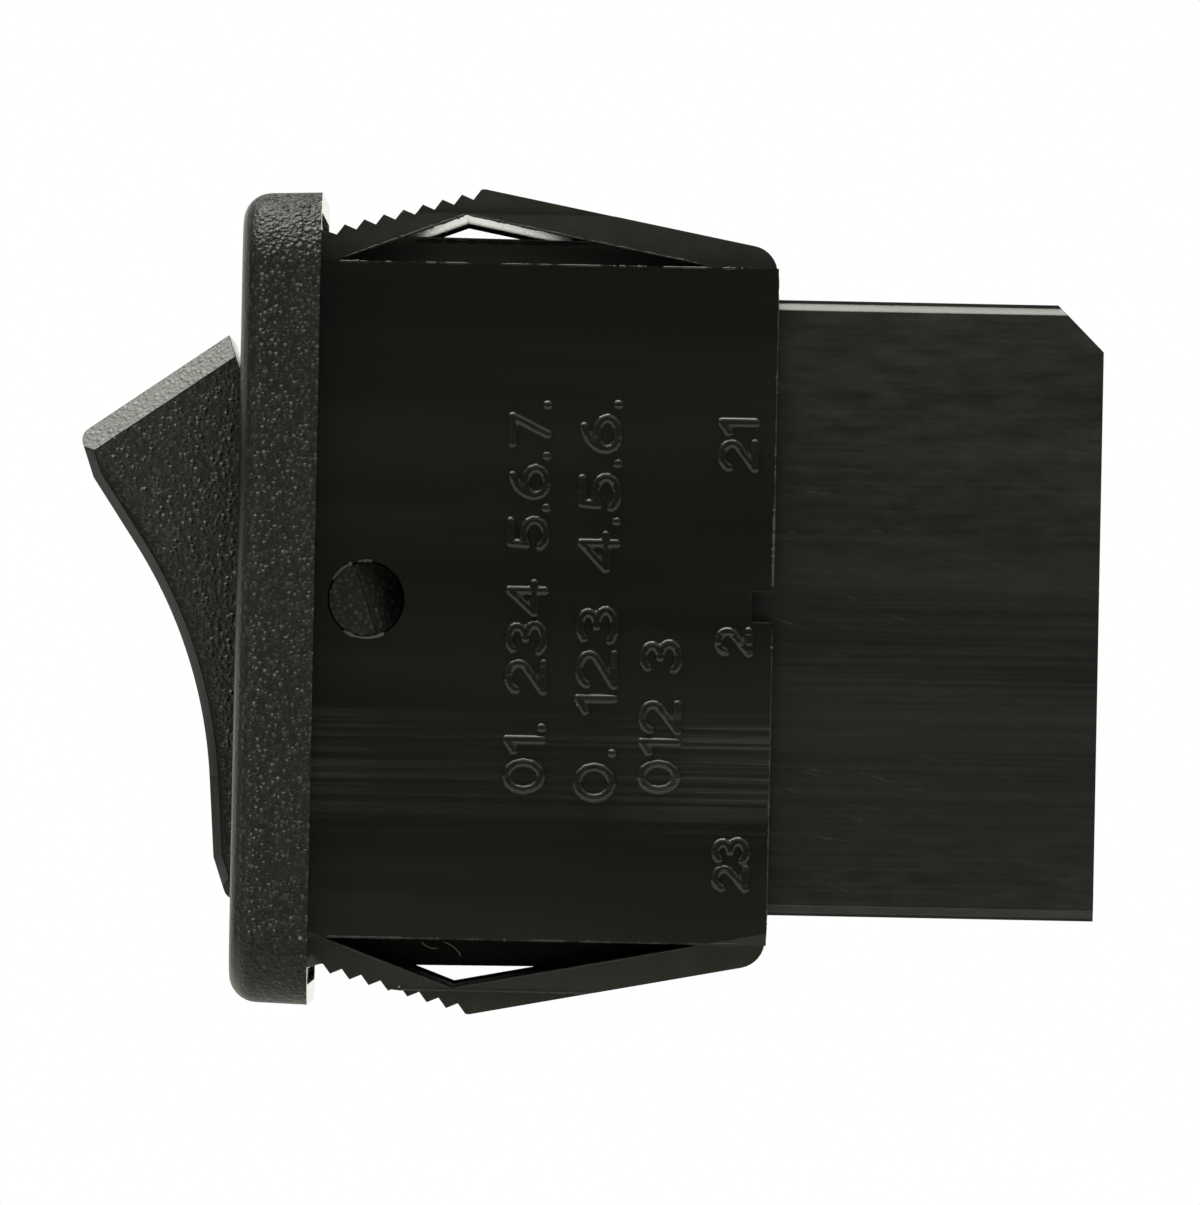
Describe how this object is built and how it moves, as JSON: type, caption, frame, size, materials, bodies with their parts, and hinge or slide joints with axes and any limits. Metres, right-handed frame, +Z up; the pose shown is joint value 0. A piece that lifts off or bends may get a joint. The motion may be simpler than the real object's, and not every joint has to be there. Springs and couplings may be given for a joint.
{
  "type": "panel rocker switch",
  "caption": "Snap-in panel rocker switch: a dished rocker in a flanged body with toothed wings, rocking-blade changeover contacts and a shroud round push-on terminals.",
  "frame": {"origin": "centre of the flange's flat rear face, which lies against the panel", "axes": "+Y runs back through the panel along the body, +Z up along the flange's long side, +X across its width, so that the rocker faces -Y"},
  "size_m": [0.025, 0.0397, 0.0322],
  "materials": {
    "body_plastic": "moulded black nylon, glossy on the body's sides and spark-grained on the flange",
    "rocker_plastic": "moulded black plastic with a fine spark-eroded grain",
    "shroud_plastic": "moulded black plastic, semi-gloss with fine draw marks along its length",
    "base_plastic": "moulded dark thermoset",
    "plunger_nylon": "natural nylon",
    "spring_steel": "drawn spring wire",
    "terminal_brass": "stamped brass strip",
    "blade_copper": "stamped copper alloy strip",
    "contact_silver": "silver alloy rivet"
  },
  "bodies": {
    "body": {"housing": "body_plastic", "terminal_base": "base_plastic", "terminal_shroud": "shroud_plastic", "fixed_contact_1a": "contact_silver", "fixed_contact_1b": "contact_silver", "fixed_contact_2a": "contact_silver", "fixed_contact_2b": "contact_silver", "common_terminal_1": "terminal_brass", "common_terminal_2": "terminal_brass", "throw_terminal_1a": "terminal_brass", "throw_terminal_1b": "terminal_brass", "throw_terminal_2a": "terminal_brass", "throw_terminal_2b": "terminal_brass"},
    "rocker": {"rocker": "rocker_plastic", "plunger_spring_1": "spring_steel", "plunger_spring_2": "spring_steel"},
    "plunger_1": {"plunger_1": "plunger_nylon"},
    "plunger_2": {"plunger_2": "plunger_nylon"},
    "blade_1": {"contact_blade_1": "blade_copper", "moving_contact_1a": "contact_silver", "moving_contact_1b": "contact_silver"},
    "blade_2": {"contact_blade_2": "blade_copper", "moving_contact_2a": "contact_silver", "moving_contact_2b": "contact_silver"}
  },
  "joints": [
    {"name": "rocker_tilt", "type": "hinge", "parent": "body", "child": "rocker", "pos_m": [0, 0.002, 0], "axis": [1, 0, 0], "range_deg": [-37.3, 0]},
    {"name": "plunger_slide_1", "type": "slide", "parent": "rocker", "child": "plunger_1", "axis": [0, -0.9475, -0.3198], "range_m": [0, 0.001], "stiffness_N_per_m": 400, "springref_m": -0.002, "deforming": ["plunger_spring_1"]},
    {"name": "plunger_slide_2", "type": "slide", "parent": "rocker", "child": "plunger_2", "axis": [0, -0.9475, -0.3198], "range_m": [0, 0.001], "stiffness_N_per_m": 400, "springref_m": -0.002, "deforming": ["plunger_spring_2"]},
    {"name": "blade_rock_1", "type": "hinge", "parent": "body", "child": "blade_1", "pos_m": [0.005, 0.01112, 0], "axis": [1, 0, 0], "range_deg": [0, 12]},
    {"name": "blade_rock_2", "type": "hinge", "parent": "body", "child": "blade_2", "pos_m": [-0.005, 0.01112, 0], "axis": [1, 0, 0], "range_deg": [0, 12]}
  ],
  "couplings": [
    {"joint": "blade_rock_1", "follows": "rocker_tilt", "ratio": -0.3217},
    {"joint": "blade_rock_2", "follows": "rocker_tilt", "ratio": -0.3217}
  ]
}
